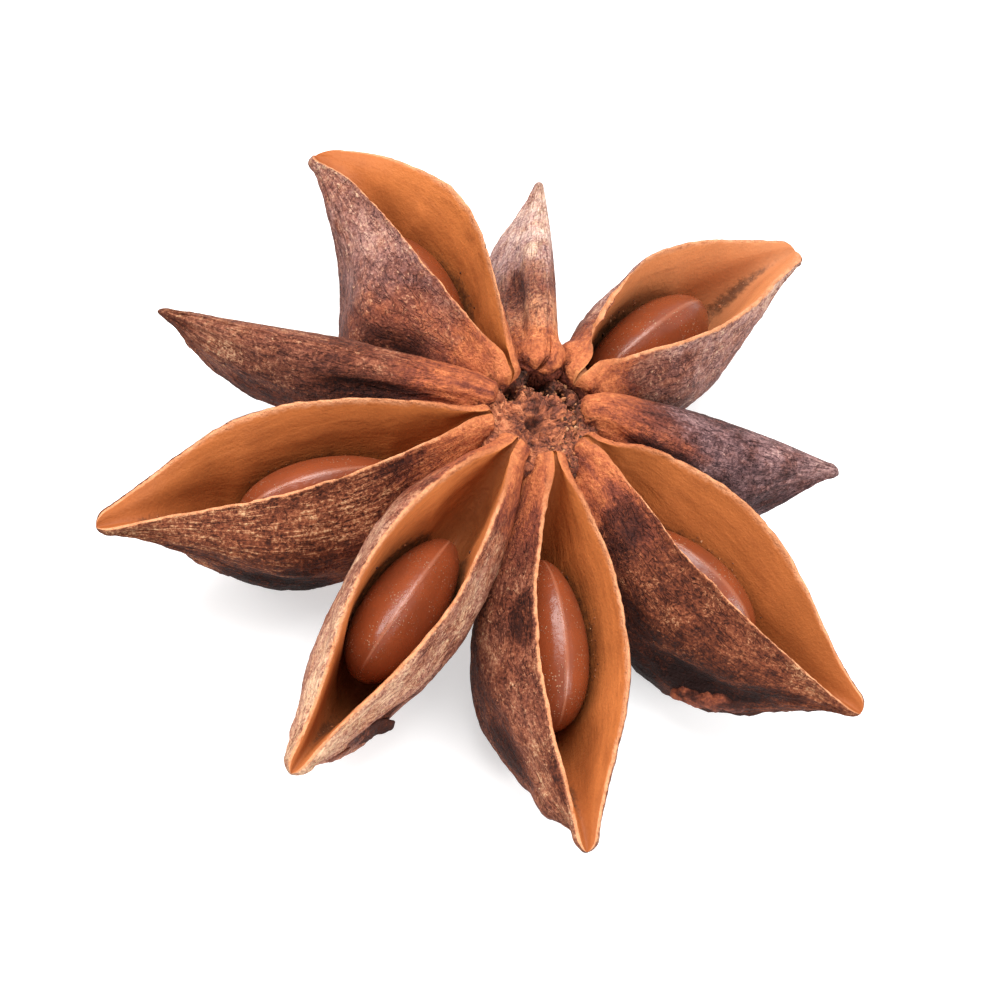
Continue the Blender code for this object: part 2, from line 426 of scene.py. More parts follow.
def carpel_tree(name, split, points):
    """The tree of an open carpel, with a hollow, or of a shut one."""
    tree, size = new_tree(name, (
        *sizes_of(CARPELS[1]), *sizes_of(DETAILS[1]),
        "Seed Radius", "Seed Length", "Sector", "Variant", "Place", "Material",
    ))
    shape, length, across = grid(tree, points)
    across = across * 2

    # Along the carpel: a rounded root, then its length with more rows near the ends
    root = ramp(length, 0, ROOT_ROWS, 0, 0.5 * math.pi)
    travel = ramp(length, ROOT_ROWS, 1, 0, math.pi)
    share = 0.5 - 0.5 * travel.cosine()
    beak = ramp(share, BEAK, 1)
    closing = root.sine() ** 0.65 * (1 - beak**2.4) ** 0.5
    held = size.root + ROOT_END - RING_RADIUS
    beyond = BEAK_END * beak - ROOT_END * root.cosine() + held * rise(share, 0.24, 0)

    # Round the section: from the keel, up the flank, over the lip and down the hollow
    left = ramp(across, -0.0001, 0.0001)
    half = left * 2 - 1
    turn = abs(across)
    if split:
        step = (ramp(turn, 0, 0.47, 0, 5) + ramp(turn, 0.47, 0.65, 0, 3)
                + ramp(turn, 0.65, 1, 0, 3.5))
    else:
        step = ramp(turn, 0, 0.9, 0, 7) + ramp(turn, 0.9, 1, 0, 1.5)
    girth = step - 7.5

    # The seam, which the section hangs from
    arch = 4 * share * (1 - share)
    radius = RING_RADIUS + (size.reach - RING_RADIUS) * share
    shoulder = 0.4 * rise(share, 0, SHOULDER_SHARE, SHOULDER_DROP, 0)
    top = size.crest * arch - size.drop * share - shoulder
    bend = size.bow * arch + size.sway * rise(share, 0.45, 0)

    # The section's corners for this share of the length
    depth = size.depth * swell(share, ROOT_DEPTH, TIP_DEPTH, size.belly, DEPTH_SHARPNESS)
    width = size.width * swell(share, size.stout, TIP_WIDTH, WIDEST, WIDTH_SHARPNESS)
    width = smaller(width, (radius + beyond) * size.sector + FUSED)
    flank = [(wide * width, -deep * depth) for wide, deep in FLANK]
    if split:
        thin = rise(share, 0.6, 1)
        finger = rise(share, 0.2, 0.02)
        lip = between(left, size.lips_right, size.lips_left) * (1 - 0.25 * thin)
        lip = lip + rise(share, 0, 0.26, 0.36, 0)
        wall = WALL * (1 - 0.5 * thin)
        gape = between(left, size.gape_right, size.gape_left)
        widest = between(left, size.widest_right, size.widest_left)
        edge = (SEAM - 0.07 * finger + size.beak * rise(share, 0.8, 1)
                + gape * bell(share, widest, SPLIT_SHARPNESS) * rise(share, -0.02, 0.13))
        wobble = vector(radius, half * 9, size.variant)
        waves, nicks = grain_of(wobble, 0.5), grain_of(wobble, 2.9, 3, 0.7)
        edge = edge + arch * (0.1 * waves + 0.03 * nicks)
        waves, nicks = grain_of(wobble + (0, 31, 0), 0.5), grain_of(wobble, 2.3, 3, 0.7)
        sag = arch * (0.1 * waves + 0.04 * nicks)
        side = [
            (edge, sag),
            (edge + 0.6 * lip, sag - 0.01 * depth - 0.06 * finger),
            (edge + lip, -0.05 * depth - 0.05 - 0.22 * finger),
            (larger(0.97 * width, edge + 1.05 * lip), -0.25 * depth),
            (larger(width, edge + 0.8 * lip), -0.42 * depth),
        ]
        apart = (radius - size.seed_radius) / (0.5 * size.seed_length)
        egg = (1 - (apart * apart).at_most(0.8)) ** 0.5
        snug = 0.5 * SEED_WIDTH * egg * ramp(apart, -1, 1, 0.92, 1.08) + SEED_GAP
        beyond_seed = rise(abs(apart), 0.55, 1.35)
        room = larger(width - wall, 0.98 * edge, 0.1)
        low_room = between(beyond_seed, smaller(room, snug, 0.1), (0.62 - 0.16 * thin) * room)
        hollow = depth * (0.05 + rise(share, 0, 0.18, 0, HOLLOW_SHARE - 0.05) - 0.36 * thin)
        inner = [
            (0.7 * edge + 0.3 * low_room, -0.17 * hollow),
            (0.25 * edge + 0.75 * low_room, -0.42 * hollow),
            (0.8 * low_room, -0.8 * hollow),
            (0, -hollow),
        ]
    else:
        side = [(0.5 * SEAM, 0)] + [(wide * width, -deep * depth) for wide, deep in SHUT_SIDE]
        inner = [(0, -0.4 * GROOVE)]
    corners = flank[::-1] + side[::-1] + inner
    corners = [(-corners[0][0], corners[0][1])] + corners
    if split:
        corners.append((-corners[-2][0], corners[-2][1]))
    else:
        corners.append((-0.5 * SEAM, 0))
    across, height = rounded_path(step, corners)

    # The ends close round a point inside the section
    middle = -0.9 + 0.6 * share
    height = middle + (height - middle) * closing
    across = across * half * closing
    grain = vector(radius, 2.5 * across / width, 8 * height / depth)
    shape = keep(shape, "share", share)
    shape = keep(shape, "girth", girth)
    shape = keep(shape, "grain", grain, "FLOAT_VECTOR")
    spot = vector(radius + beyond, bend + across - size.lean * height / size.depth, top + height)
    spot = turn_about(spot, "Z", size.heading)
    shape = weld(place_at(shape, spot * MM + size.place))
    shape = shape.node("GeometryNodeFlipFaces", values={"Mesh": shape})

    # Relief on the finished form, in mm: wrinkles along the skin, lumps on the keel, a chipped lip
    share, girth = kept(shape, "share"), kept(shape, "girth")
    grain = kept(shape, "grain", "FLOAT_VECTOR") + size.variant
    point = (place_now(shape) - size.place) * (1 / MM)
    skin = rise(girth, -2.6, -1.4, 1, 0)
    lining = rise(girth, 0.2, 1.2)
    keel = rise(girth, -6.9, -5.2, 1, 0)
    firm = rise(share, 0.95, 1, 1, 0.15)
    swells = grain_of(grain * (0.35, 0.5, 0.45), 1)
    plump = rise(share, 0.12, 0.34, 0.35, 1)
    wrinkles = 0.6 - 2 * abs(grain_of(grain * (0.35, 1, 0.9), 1, 2, 0.5, 0.6))
    pits = grain_of(point, 2.2, 3, 0.6)
    lumps = grain_of(point, 0.9)
    relief = 0.13 * swells + 0.05 * plump * wrinkles + 0.035 * pits - 0.05
    relief = skin * relief + 0.24 * keel * lumps
    if split:
        rim = rise(girth, -2.4, -1.2) * rise(girth, 0, 0.9, 1, 0)
        chips = rise(grain_of(point, 2.6), 0.25, 0.8)
        fibres = grain_of(grain * (0.22, 1.6, 1.1), 1)
        relief = relief - 0.06 * rim * chips + rim * 0.02 * grain_of(point, 5)
        relief = relief + 0.03 * lining * fibres * rise(share, 0.5, 0.9, 1, 0.1)
    stub = rise(share, 0.03, 0) * rise(girth, -1.6, -2.6)
    relief = relief * firm + 0.2 * stub * (grain_of(point, 2.4, 3, 0.7) - 0.3)
    shape = move(shape, outward(shape) * relief * MM)
    x, y, z = place_now(shape).parts()
    level = z.at_least(size.place.parts()[2] + FLOOR * MM)
    shape = place_at(shape, vector(x, y, level))
    end_tree(tree, shape, size.material)
    return tree


def half_sector(number):
    """Half of the angle, in radians, that a carpel has between its two neighbours."""
    before = CARPELS[(number - 2) % len(CARPELS) + 1].heading
    after = CARPELS[number % len(CARPELS) + 1].heading
    return math.radians((before - after) % 360) / 4


def seed_radius(number):
    """How far from the axis the middle of a carpel's seed is."""
    share = SEEDS[number].share if number in SEEDS else 0.5
    return RING_RADIUS + (CARPELS[number].reach - RING_RADIUS) * share


# Colours of the dried husk. The skin goes from nearly black in its creases to sandy on its fibres,
# and is redder where its neighbours have sheltered it and orange at the roots.
SKIN_TONES = (
    (0.0, (0.014, 0.004, 0.003)), (0.24, (0.05, 0.012, 0.006)), (0.44, (0.135, 0.034, 0.015)),
    (0.6, (0.25, 0.08, 0.036)), (0.76, (0.41, 0.19, 0.095)), (1.0, (0.6, 0.37, 0.2)),
)
# Grey bloom on the bare skin, whose pale end also serves as a painted sheen
BLOOM_AND_SHEEN_TONES = (
    (0.0, (0.03, 0.013, 0.015)), (0.28, (0.102, 0.051, 0.052)), (0.5, (0.236, 0.127, 0.122)),
    (0.7, (0.425, 0.254, 0.228)), (1.0, (0.69, 0.49, 0.39)),
)
ROOT_TONES = (
    (0.0, (0.05, 0.013, 0.01)), (0.26, (0.17, 0.042, 0.024)), (0.46, (0.37, 0.1, 0.04)),
    (0.66, (0.58, 0.19, 0.07)), (1.0, (0.85, 0.4, 0.18)),
)
CUT_DARK = (0.34, 0.112, 0.042)
CUT_EDGE = (0.62, 0.28, 0.14)
# The lining's colour by the lip, and a darker one that also serves as painted shade low in the
# hollow and in the beak
LINING_TOP = (0.49, 0.153, 0.041)
LINING_LOW = (0.27, 0.074, 0.02)
LINING_PALE = (0.7, 0.33, 0.16)
# Dark dust, which also serves as painted contact shade round the seeds
DUST_AND_SHADE_DARK = (0.07, 0.026, 0.012)

# Each carpel takes its forms and its patterns from another part of the same noise, so far on
SHAPE_STEP = 17
GRAIN_STEP = 3.7
PATTERN_STEP = 5.3

# How each skin has dried. light: paler or darker than the rest. sandy: pale fibres along it.
# flecks: round pale specks. veins: a net of pale lines. bloom: grey bloom, which also paints
# a pale sheen on the bare skin. cut: how far the cut edge reaches over the left and the right lip.
# lining: paler or darker inside.
Look = namedtuple("Look", "light sandy flecks veins bloom cut lining")
LOOKS = {
    1: Look(0.12, 0.30, 0.45, 0.20, 0.50, (-0.6, -0.7), 0.0),
    2: Look(0.26, -0.10, 0.15, 0.30, 1.00, (-0.5, -0.5), 0.0),
    3: Look(0.19, 0.25, 0.38, 0.20, 0.60, (-0.8, -1.0), 0.30),
    4: Look(-0.15, 0.00, 0.22, 0.25, 1.05, (-0.5, -0.5), 0.0),
    5: Look(-0.02, 0.20, 0.22, 0.85, 0.0, (-0.6, -0.6), -0.50),
    6: Look(0.09, 0.55, 0.36, 0.45, 0.10, (-0.9, -0.9), -0.04),
    7: Look(0.28, 0.45, 0.34, 0.30, 0.28, (-0.7, -0.7), 0.05),
    8: Look(-0.01, 0.92, 0.30, 0.40, 0.0, (-0.8, -0.7), -0.32),
    9: Look(0.04, 0.05, 0.32, 0.55, 0.12, (-0.5, -0.5), 0.0),
}


def attribute(tree, name, give=2):
    """A value that a mesh keeps on its points: 2 gives a number and 1 a vector."""
    return add_node(tree, "ShaderNodeAttribute", {"attribute_name": name}, give=give)


def tones(value, stops):
    return value.node("ShaderNodeValToRGB", {"stops": stops}, {0: value})


def new_finish(name):
    """A bare material of that name, and its tree."""
    finish = bpy.data.materials.new(name)
    finish.use_nodes = True
    return finish, finish.node_tree


def place_in_mm(tree):
    return add_node(tree, "ShaderNodeTexCoord", give=3) * (1 / MM)


def finish_surface(tree, colour, roughness, height, depth, gloss=0.3):
    """Gives a shader its colour, roughness and a bump that is depth mm deep for a height of 1."""
    shader = tree.nodes["Principled BSDF"]
    bump = height.node("ShaderNodeBump", values={
        "Strength": 1, "Distance": depth * MM, "Height": height})
    shader.inputs["Specular IOR Level"].default_value = gloss
    tree.links.new(colour.socket, shader.inputs["Base Color"])
    tree.links.new(roughness.socket, shader.inputs["Roughness"])
    tree.links.new(bump.socket, shader.inputs["Normal"])


def dried_skin(number, split):
    """The dried skin outside, the pale cut lip and the smooth lining of one carpel."""
    look = LOOKS[number]
    finish, tree = new_finish(f"dried_pod_{number}")
    share, girth = attribute(tree, "share"), attribute(tree, "girth")
    along_across = attribute(tree, "grain", 1)
    grain = along_across + GRAIN_STEP * number
    left = ramp(along_across.parts()[1], -0.01, 0.01)
    point = place_in_mm(tree) + PATTERN_STEP * number

    # Skin: a dark, cloudy ground under a crumbly web of pale flecks, fibres and veins, stained and
    # scarred, with painted shade in some dented folds, grey with bloom and a painted pale sheen
    # where it is bare, and red or orange where it is sheltered
    cloud = grain_of(point, 0.45, 3, 0.6)
    mottle = grain_of(grain * (1.6, 2.2, 2.2), 1, 4, 0.72, 0.3)
    fine = grain_of(point, 7.5, 2, 0.7)
    grit = grain_of(point + 31, 4.6, 3, 0.75)
    creases = 1 - abs(grain_of(grain * (0.9, 2.8, 2.8), 1, 2, 0.6, 0.8))
    blotch = 0.35 * mottle + 0.35 * cloud
    sheltered = rise(share + 0.1 * cloud + 0.05 * mottle - 0.02 * girth, 0.46, 0.24)
    sheltered = sheltered.at_least(rise(attribute(tree, "blush") + 0.5 * blotch, 0.2, 0.7))
    root = rise(share + 0.06 * cloud + 0.05 * mottle, 0.3, 0.04)
    crack = rise(creases, 0.9, 1) * (1 - 0.75 * root)
    upper = rise(girth, -5.5, -2, -0.07, 0.07)
    tone = (0.31 + look.light + upper) + 0.24 * mottle + 0.22 * fine + 0.18 * cloud
    threads = grain_of(grain * (0.6, 7, 7), 1, 3, 0.7, 0.4)
    area = grain_of(point * 0.5 + 9, 1, 4, 0.65)
    sandy = threads + 0.5 * area + 0.3 * fine
    sandy = rise(sandy, 0.85 - 1.2 * look.sandy, 1.75 - 1.2 * look.sandy)
    specks = rise(grit + 0.35 * area + 0.3 * fine, 0.6 - look.flecks, 1.25 - look.flecks)
    net = grain_of(point + 23, 2.4, 3, 0.65, 1)
    veins = rise(area + 0.4 * cloud, 0.6 - look.veins, 1.2 - look.veins)
    veins = rise(abs(net), 0, 0.16, 1, 0) * veins
    pale = sandy.at_least(specks.at_least(0.8 * veins))
    tone = tone + 0.33 * pale - 0.14 * crack + 0.15 * rise(share, 0.55, 0.95)
    # Stains: dark resin, and painted shade in the dented folds of carpels 5 and 7
    stain = rise(attribute(tree, "stain") + 0.35 * blotch, 0.28, 0.62)
    scar = rise(attribute(tree, "scar") + 0.3 * blotch + 0.15 * fine, 0.35, 0.75)
    tone = tone - 0.26 * stain + 0.28 * scar
    if not split:
        tone = tone + 0.05 * rise(girth + 0.3 * fine + 0.2 * mottle, -1.6, -0.4)
    skin = tones(tone, SKIN_TONES)
    # Grey bloom on the bare skin, which also paints a pale sheen
    bloom_and_sheen = grain_of(point + 40, 1.3, 5, 0.75) + 0.5 * cloud + 0.3 * fine
    bloom_and_sheen = look.bloom * rise(bloom_and_sheen, -0.9, 0.9, 0.25, 1.2)
    bloom_and_sheen = bloom_and_sheen * (1 - 0.7 * stain) * (1 - 0.7 * sheltered)
    skin = between(bloom_and_sheen, skin, tones(tone + 0.04, BLOOM_AND_SHEEN_TONES))
    mealy = grain_of(point + 50, 2.6, 4, 0.75, 0.3)
    purple = grain_of(grain * (0.35, 0.7, 0.7) + 70, 1, 4, 0.65) + 0.3 * mealy
    purple = rise(purple, -0.1, 0.7)
    warm = 0.31 + 0.24 * root + 0.22 * mealy + 0.14 * fine + 0.14 * cloud + 0.12 * pale
    warm = tones(warm - 0.12 * crack - 0.22 * stain - 0.26 * purple + 0.22 * scar, ROOT_TONES)
    torn = rise(share + 0.01 * fine, 0.045, 0.005) * rise(girth + 0.9 * grit, -1.5, -2.6)
    warm = between(torn, warm, tones(0.2 + 0.3 * grit + 0.1 * fine, ROOT_TONES))
    skin = between((0.65 * sheltered + root) * (1 - 0.6 * stain), skin, warm)
    roughness = rise(fine + mottle, -1, 1, 0.65, 0.85)
    height = 0.35 * mottle * (1 - 0.7 * root) + 0.4 * root * mealy
    height = height + 0.55 * fine + 0.45 * pale - 0.8 * crack

    colour = skin
    if split:
        # Cut edge: pale and a little rough, with a ragged border to the skin
        ragged = grain_of(point, 3, 3, 0.7)
        reach = between(left, look.cut[1], look.cut[0])
        edge = rise(girth + 0.3 * ragged - reach, -0.25, 0.15)
        shade = grain_of(point + 3, 1.3, 4, 0.7) + 0.5 * ragged + 0.4 * fine - 1.4 * root
        cut = between(rise(shade, -1.3, 0.9), CUT_DARK, CUT_EDGE)
        colour = between(edge * rise(share, 0, 0.2, 0.35, 1), skin, cut)
        # Lining: satin, with fine fibres along it, darker towards the bottom and the beak by
        # painted shade, dusty and darkened by painted contact shade where the seed touches it and
        # low in the beak
        fibres = grain_of(grain * (0.45, 3.4, 2.4), 1, 4, 0.65, 0.3)
        fibres = fibres * rise(share, 0.5, 0.9, 1, 0.15)
        haze = grain_of(point + 61, 0.8, 4, 0.65)
        # Painted shade: darker towards the bottom of the hollow and into the beak
        low = rise(girth + 0.2 * fibres + 0.6 * haze, 0.6, 4.2)
        beak = rise(share + 0.06 * haze, 0.66, 0.97, 0, 0.6)
        inside = between(low.at_least(beak), LINING_TOP, LINING_LOW)
        brushed = grain_of(grain * (0.3, 1.5, 1.2) + 8, 1, 5, 0.7, 0.4)
        streaks = fibres + 0.8 * haze + 1.1 * brushed + 0.4 * fine
        inside = between(rise(streaks, -0.5, 1.8, 0, 0.75), inside, LINING_LOW)
        inside = between(abs(look.lining), inside, LINING_PALE if look.lining > 0 else LINING_LOW)
        dusty = attribute(tree, "dusty")
        # Painted contact shade, with dust, round the seed and low in the beak
        dust_and_shade_mix = rise(dusty + 0.25 * fine + 0.45 * ragged, 0.4, 1.3, 0, 0.85)
        inside = between(dust_and_shade_mix, inside, DUST_AND_SHADE_DARK)
        inside = between(rise(fine + 0.5 * dusty, 0.85, 1.2, 0, 0.35), inside, CUT_EDGE)
        inner = rise(girth + 0.2 * ragged, -0.15, 0.3)
        colour = between(inner, colour, inside)
        roughness = between(inner, roughness, rise(fibres + dusty, -1, 1.5, 0.42, 0.6))
        height = between(edge, height, 0.6 * ragged + 0.4 * fine)
        height = between(inner, height, 0.25 * fibres + 0.15 * fine)
    finish_surface(tree, colour, roughness, height, 0.06, 0.12)
    return finish


# What sets single carpels apart. A dent pushes the skin in by so many mm, or out if its amount is
# below 0. A stain is dark resin, and on carpels 5 and 7 painted shade in the fold dented above a
# torn shred. A scar is bare and pale, and a blush is red. share: how far along.
# girth: how far round, from -7.5 at the keel to 0 at the lip. side: 1 is left. long and wide: its
# size along the carpel in mm, and round it on the scale of girth.
Mark = namedtuple("Mark", "share girth side long wide amount")
MARKS = {
    1: {
        "dent": ((0.66, -4.2, 1, 1.9, 1.8, 0.5), (0.41, -4.5, 1, 1.6, 1.7, -0.8),
            (0.86, -4.4, 1, 1.6, 1.4, -0.22)),
        "stain": ((0.42, -2, 1, 2.2, 1, 0.45), (0.22, -4.2, 1, 1.6, 0.6, 1),
            (0.31, -3.6, 1, 1.8, 0.9, 0.75)),
        "scar": ((0.467, -3.1, 1, 0.35, 0.35, 0.75),),
        "blush": ((0.3, -3.9, 1, 2.8, 2, 1.1),),
    },
    2: {
        "dent": ((0.618, -1, 1, 0.6, 0.7, -0.14), (0.45, -2.4, 1, 1.4, 0.8, 0.42),
            (0.03, 0.8, 1, 1.1, 0.9, 0.3), (0.03, 0.8, -1, 1.1, 0.9, 0.3),
            (0.3, -2.2, 1, 1.6, 0.5, 0.16), (0.7, -4, 1, 2, 1.6, 0.12),
            (0.05, -3.6, -1, 1, 2.4, -0.3)),
        "stain": ((0.45, -2.4, 1, 1.3, 0.6, 1.3),),
        "scar": ((0.618, -1, 1, 0.7, 0.8, 0.85), (0.26, -1.5, 1, 2.6, 2.6, 0.75),
            (0.26, -1.5, -1, 2.6, 2.6, 0.75)),
        "blush": ((0.28, -2, 1, 3.6, 4, 1.1), (0.28, -2, -1, 3.6, 4, 1.1)),
    },
    3: {
        "dent": ((0.55, -4.2, -1, 4, 1.8, -0.1), (0.34, -4, -1, 1.6, 1.6, -0.18),
            (0.26, -2, 1, 2.6, 2.6, 0.28), (0.06, -3.6, 1, 0.9, 2.4, -0.3)),
        "stain": ((0.3, -2.5, -1, 2, 1.2, 0.5),),
    },
    4: {
        "dent": ((0.24, -2.7, -1, 3.2, 0.9, 0.3), (0.78, -5, -1, 2.2, 1.6, -0.06)),
        "stain": ((0.28, -2.4, -1, 2.2, 1.2, 0.8), (0.42, -3.8, -1, 2.6, 1.6, 0.75)),
        "blush": ((0.22, -1.3, -1, 2.8, 0.8, 0.9),),
    },
    5: {
        "dent": ((0.64, -4.3, -1, 2.6, 0.45, 0.45), (0.42, -5.4, -1, 1.6, 1.4, -0.15)),
        # The stain at share 0.64 is painted shade in the fold dented above the corky scab
        "stain": ((0.24, -2.6, -1, 1.5, 1.2, 0.7), (0.64, -4.4, -1, 2.8, 0.55, 1.1),
            (0.45, -5.6, -1, 2, 1.2, 0.8), (0.8, -3.8, -1, 1.6, 0.7, 0.8)),
        "blush": ((0.221, -2.7, -1, 0.5, 0.4, 1),),
    },
    6: {
        "dent": ((0.87, -4.8, -1, 0.9, 1.1, -0.45), (0.95, -4.2, -1, 0.7, 1.2, 0.15),
            (0.42, -4.4, -1, 2, 1.4, -0.06), (0.62, -4.6, -1, 1.2, 1.2, 0.12)),
        "stain": ((0.44, -1.9, -1, 1.3, 0.7, 0.9), (0.7, -4.4, -1, 2.2, 0.8, 0.7),
            (0.84, -1.9, -1, 1.5, 0.8, 0.8)),
        "blush": ((0.2, -3.5, -1, 2, 2.5, 0.7),),
    },
    7: {
        "dent": ((0.69, -4.4, 1, 1.9, 0.55, 0.5), (0.86, -5, 1, 1.3, 1.2, -0.16),
            (0.58, -5.2, 1, 1.4, 1, 0.17), (0.9, -4.2, -1, 1.2, 1.6, -0.12),
            (0.3, -3.2, -1, 2.2, 1.5, -0.38), (0.56, -3.2, -1, 1.8, 1.4, 0.1)),
        # This stain is painted shade in the fold dented above the torn ledge
        "stain": ((0.7, -4.3, 1, 1.9, 0.6, 1.7),),
        "scar": ((0.5, -2.7, 1, 3.4, 0.8, 0.45),),
        "blush": ((0.18, -2.8, -1, 2.2, 1.5, 0.8),),
    },
    8: {
        "dent": ((0.57, -4.7, 1, 2.4, 0.35, 0.25), (0.22, -2.6, 1, 1.5, 1, 0.14)),
        "stain": ((0.57, -5.1, 1, 2.4, 0.6, 1.3), (0.3, -1.8, 1, 2, 0.7, 0.6)),
        "scar": ((0.55, -4.3, 1, 1.6, 0.12, 0.8),),
        "blush": ((0.34, -4.4, 1, 2.2, 1.6, 1),),
    },
    9: {
        "dent": ((0.3, -2.5, 1, 2.6, 0.8, 0.3), (0.72, -5, 1, 2.6, 1.4, -0.06),
            (0.14, -3.4, 1, 1.2, 0.5, 0.2)),
        "stain": ((0.33, -2.6, 1, 2.6, 1, 0.9), (0.93, -2.5, 1, 1.2, 1.5, 0.5),
            (0.22, -4.4, 1, 1.5, 0.6, 0.7)),
        "blush": ((0.55, -5, 1, 3, 1.4, 0.5),),
    },
}
# How far the dust and the painted contact shade reach from the seed, in mm
DUST_AND_SHADE_REACH = 0.26


def seed_contact(spots, number):
    """1 where a point of the hollow touches the seed, and less away from it."""
    seed = SEEDS[number]
    low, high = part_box(f"seed_{number}")
    turned = Matrix.Rotation(math.radians(CARPELS[number].heading), 3, "Z") @ Matrix.Rotation(
        math.radians(seed.pitch), 3, "Y")
    local = (spots - np.array(0.5 * (low + high))) @ np.array(turned)
    half_sizes = 0.5 * MM * np.array((seed.length, SEED_WIDTH, seed.height))
    ratio = np.linalg.norm(local / half_sizes, axis=1)
    apart = np.linalg.norm(local, axis=1) * (1 - 1 / ratio) / MM
    return np.exp(-((np.maximum(apart - SEED_GAP, 0) / DUST_AND_SHADE_REACH) ** 2))


def read(rows, field, width=1):
    """One field of all points of a mesh as an array."""
    values = np.empty(len(rows) * width, np.float32)
    rows.foreach_get(field, values)
    return values.reshape(-1, width) if width > 1 else values


def read_skin(mesh):
    """How far along a carpel each of its points is, how far round it, and on which side."""
    share = read(mesh.attributes["share"].data, "value")
    girth = read(mesh.attributes["girth"].data, "value")
    return share, girth, np.sign(read(mesh.attributes["grain"].data, "vector", 3)[:, 1])


def press_marks(mesh, number):
    """Pushes a carpel's dents into its skin, and keeps its other marks on its points."""
    share, girth, half = read_skin(mesh)
    spots = read(mesh.vertices, "co", 3)
    normals = read(mesh.vertex_normals, "vector", 3)
    painted = {kind: np.zeros(len(share), np.float32) for kind in ("stain", "scar", "blush")}
    length = CARPELS[number].reach - RING_RADIUS
    for kind, marks in MARKS[number].items():
        for mark in map(Mark._make, marks):
            along = (share - mark.share) * length / mark.long
            across = (girth - mark.girth) / mark.wide
            weight = mark.amount * np.exp(-(along**2) - across**2) * (half == mark.side)
            if kind == "dent":
                spots -= normals * weight[:, None] * MM
            else:
                painted[kind] = np.maximum(painted[kind], weight)
    spots[:, 2] = np.maximum(spots[:, 2], pod_low.z)
    mesh.vertices.foreach_set("co", spots.ravel())
    if number in SEEDS:
        # Dust and painted shade low in the beak, beyond the seed
        fallen = 1.3 * np.exp(-((girth - 4) ** 2) / 0.4)
        fallen = fallen * np.exp(-(((share - 0.8) / 0.13) ** 2))
        painted["dusty"] = seed_contact(spots, number) * (girth > 0.4) + fallen
    for kind, weights in painted.items():
        mesh.attributes.new(kind, "FLOAT", "POINT").data.foreach_set("value", weights)
    mesh.update()


pieces = {}
open_carpel = carpel_tree("open_carpel", True, OPEN_POINTS)
shut_carpel = carpel_tree("shut_carpel", False, SHUT_POINTS)
for number, carpel in CARPELS.items():
    split = any(carpel.gape)
    piece = grow(f"carpel_{number}", open_carpel if split else shut_carpel, {
        **sizes_of(carpel), **sizes_of(DETAILS[number]),
        "Seed Radius": seed_radius(number), "Seed Length": SEEDS[number].length if split else 1,
        "Sector": math.tan(half_sector(number)), "Variant": SHAPE_STEP * number,
        "Place": ring_middle, "Material": dried_skin(number, split),
    })
    press_marks(piece.data, number)
    pieces[number] = piece
    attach(piece, "root")
    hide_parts("pod")

# ------------------------ the column
# The end of the fruit stalk, which the carpels are fused round. Its top is a sunken, torn cushion
# of brown fibres in radial folds, lower and full of holes on its far side. Its stub shows below.

COLUMN_RADIUS = 2.7
COLUMN_TOP = -1.1
COLUMN_DISH = 0.35
COLUMN_FOOT = -3.4
STALK_RADIUS = 1.3
STALK_TOP = -5.0
STALK_END = -6.2
FAR_SIDE = math.radians(100)
COLUMN_POINTS = (130, 240)

# Points of the column and of the shreds are joined from a little further apart, in metres
LOOSE_WELD = 2e-6

# Holes torn in the top: where from the axis, how wide and how deep
Hole = namedtuple("Hole", "x y radius depth")
HOLES = (
    Hole(-1.37, 0.84, 0.35, 1.2), Hole(-0.60, 1.95, 0.50, 1.8), Hole(0.42, 2.05, 0.26, 1.0),
    Hole(1.05, 1.55, 0.20, 0.5), Hole(0.05, -0.03, 0.35, 0.35), Hole(-0.15, 1.75, 0.30, 1.0),
)

column_tree, size = new_tree("column", ("Place", "Material"))
shape, length, across = grid(column_tree, COLUMN_POINTS)
angle = across * (2 * math.pi)
corners = [
    (-0.7 * RING_RADIUS, COLUMN_TOP - COLUMN_DISH),
    (0, COLUMN_TOP - COLUMN_DISH),
    (0.8 * RING_RADIUS, COLUMN_TOP - 0.4 * COLUMN_DISH),
    (COLUMN_RADIUS, COLUMN_TOP),
    (COLUMN_RADIUS, COLUMN_FOOT),
    (STALK_RADIUS, STALK_TOP),
    (STALK_RADIUS, STALK_END),
    (0, STALK_END),
    (-STALK_RADIUS, STALK_END),
]
step = ramp(length, 0, 0.7, 0.5, 2.4) + ramp(length, 0.7, 1, 0, 4.1)
radius, height = rounded_path(step, corners)
radius = radius.at_least(0) * rise(length, 0, 0.02) * rise(length, 0.98, 1, 1, 0)
east, north = angle.cosine(), angle.sine()
upper = rise(height, -2.6, -1.8)
flat = vector(east * radius, north * radius, 0.3 * height)
plates = 1 - 2 * abs(grain_of(flat + 4, 1.3, 2, 0.55, 0.9))
chunks = grain_of(flat, 1.5, 3, 0.6, 0.7)
strands = grain_of(vector(east * 3.4, north * 3.4, radius * 0.9 + 3), 1, 3, 0.65)
strands = strands * rise(radius, 0.3, 1.4)
tilt = east * math.cos(FAR_SIDE) + north * math.sin(FAR_SIDE)
trench = rise(radius, 1.45, 1.75) * rise(tilt, 0.35, 0.9)
near = rise(radius, 0.8, 2) * rise(tilt, 0.3, -0.5)
relief = 0.24 * chunks + 0.12 * plates + 0.18 * strands + 0.04 * grain_of(flat, 5, 2)
relief = relief - 0.2 * trench + 0.4 * near
for hole in HOLES:
    away = flat * (1, 1, 0) - (hole.x, hole.y, 0)
    away = away.node("ShaderNodeVectorMath", {"operation": "LENGTH"}, {0: away}, 1)
    relief = relief - hole.depth * rise(away, hole.radius * 1.25, hole.radius * 0.5)
height = height + upper * relief
shape = keep(shape, "plates", plates)
# The relief is kept to paint shade into the holes and the far trench
shape = keep(shape, "hollow", relief)
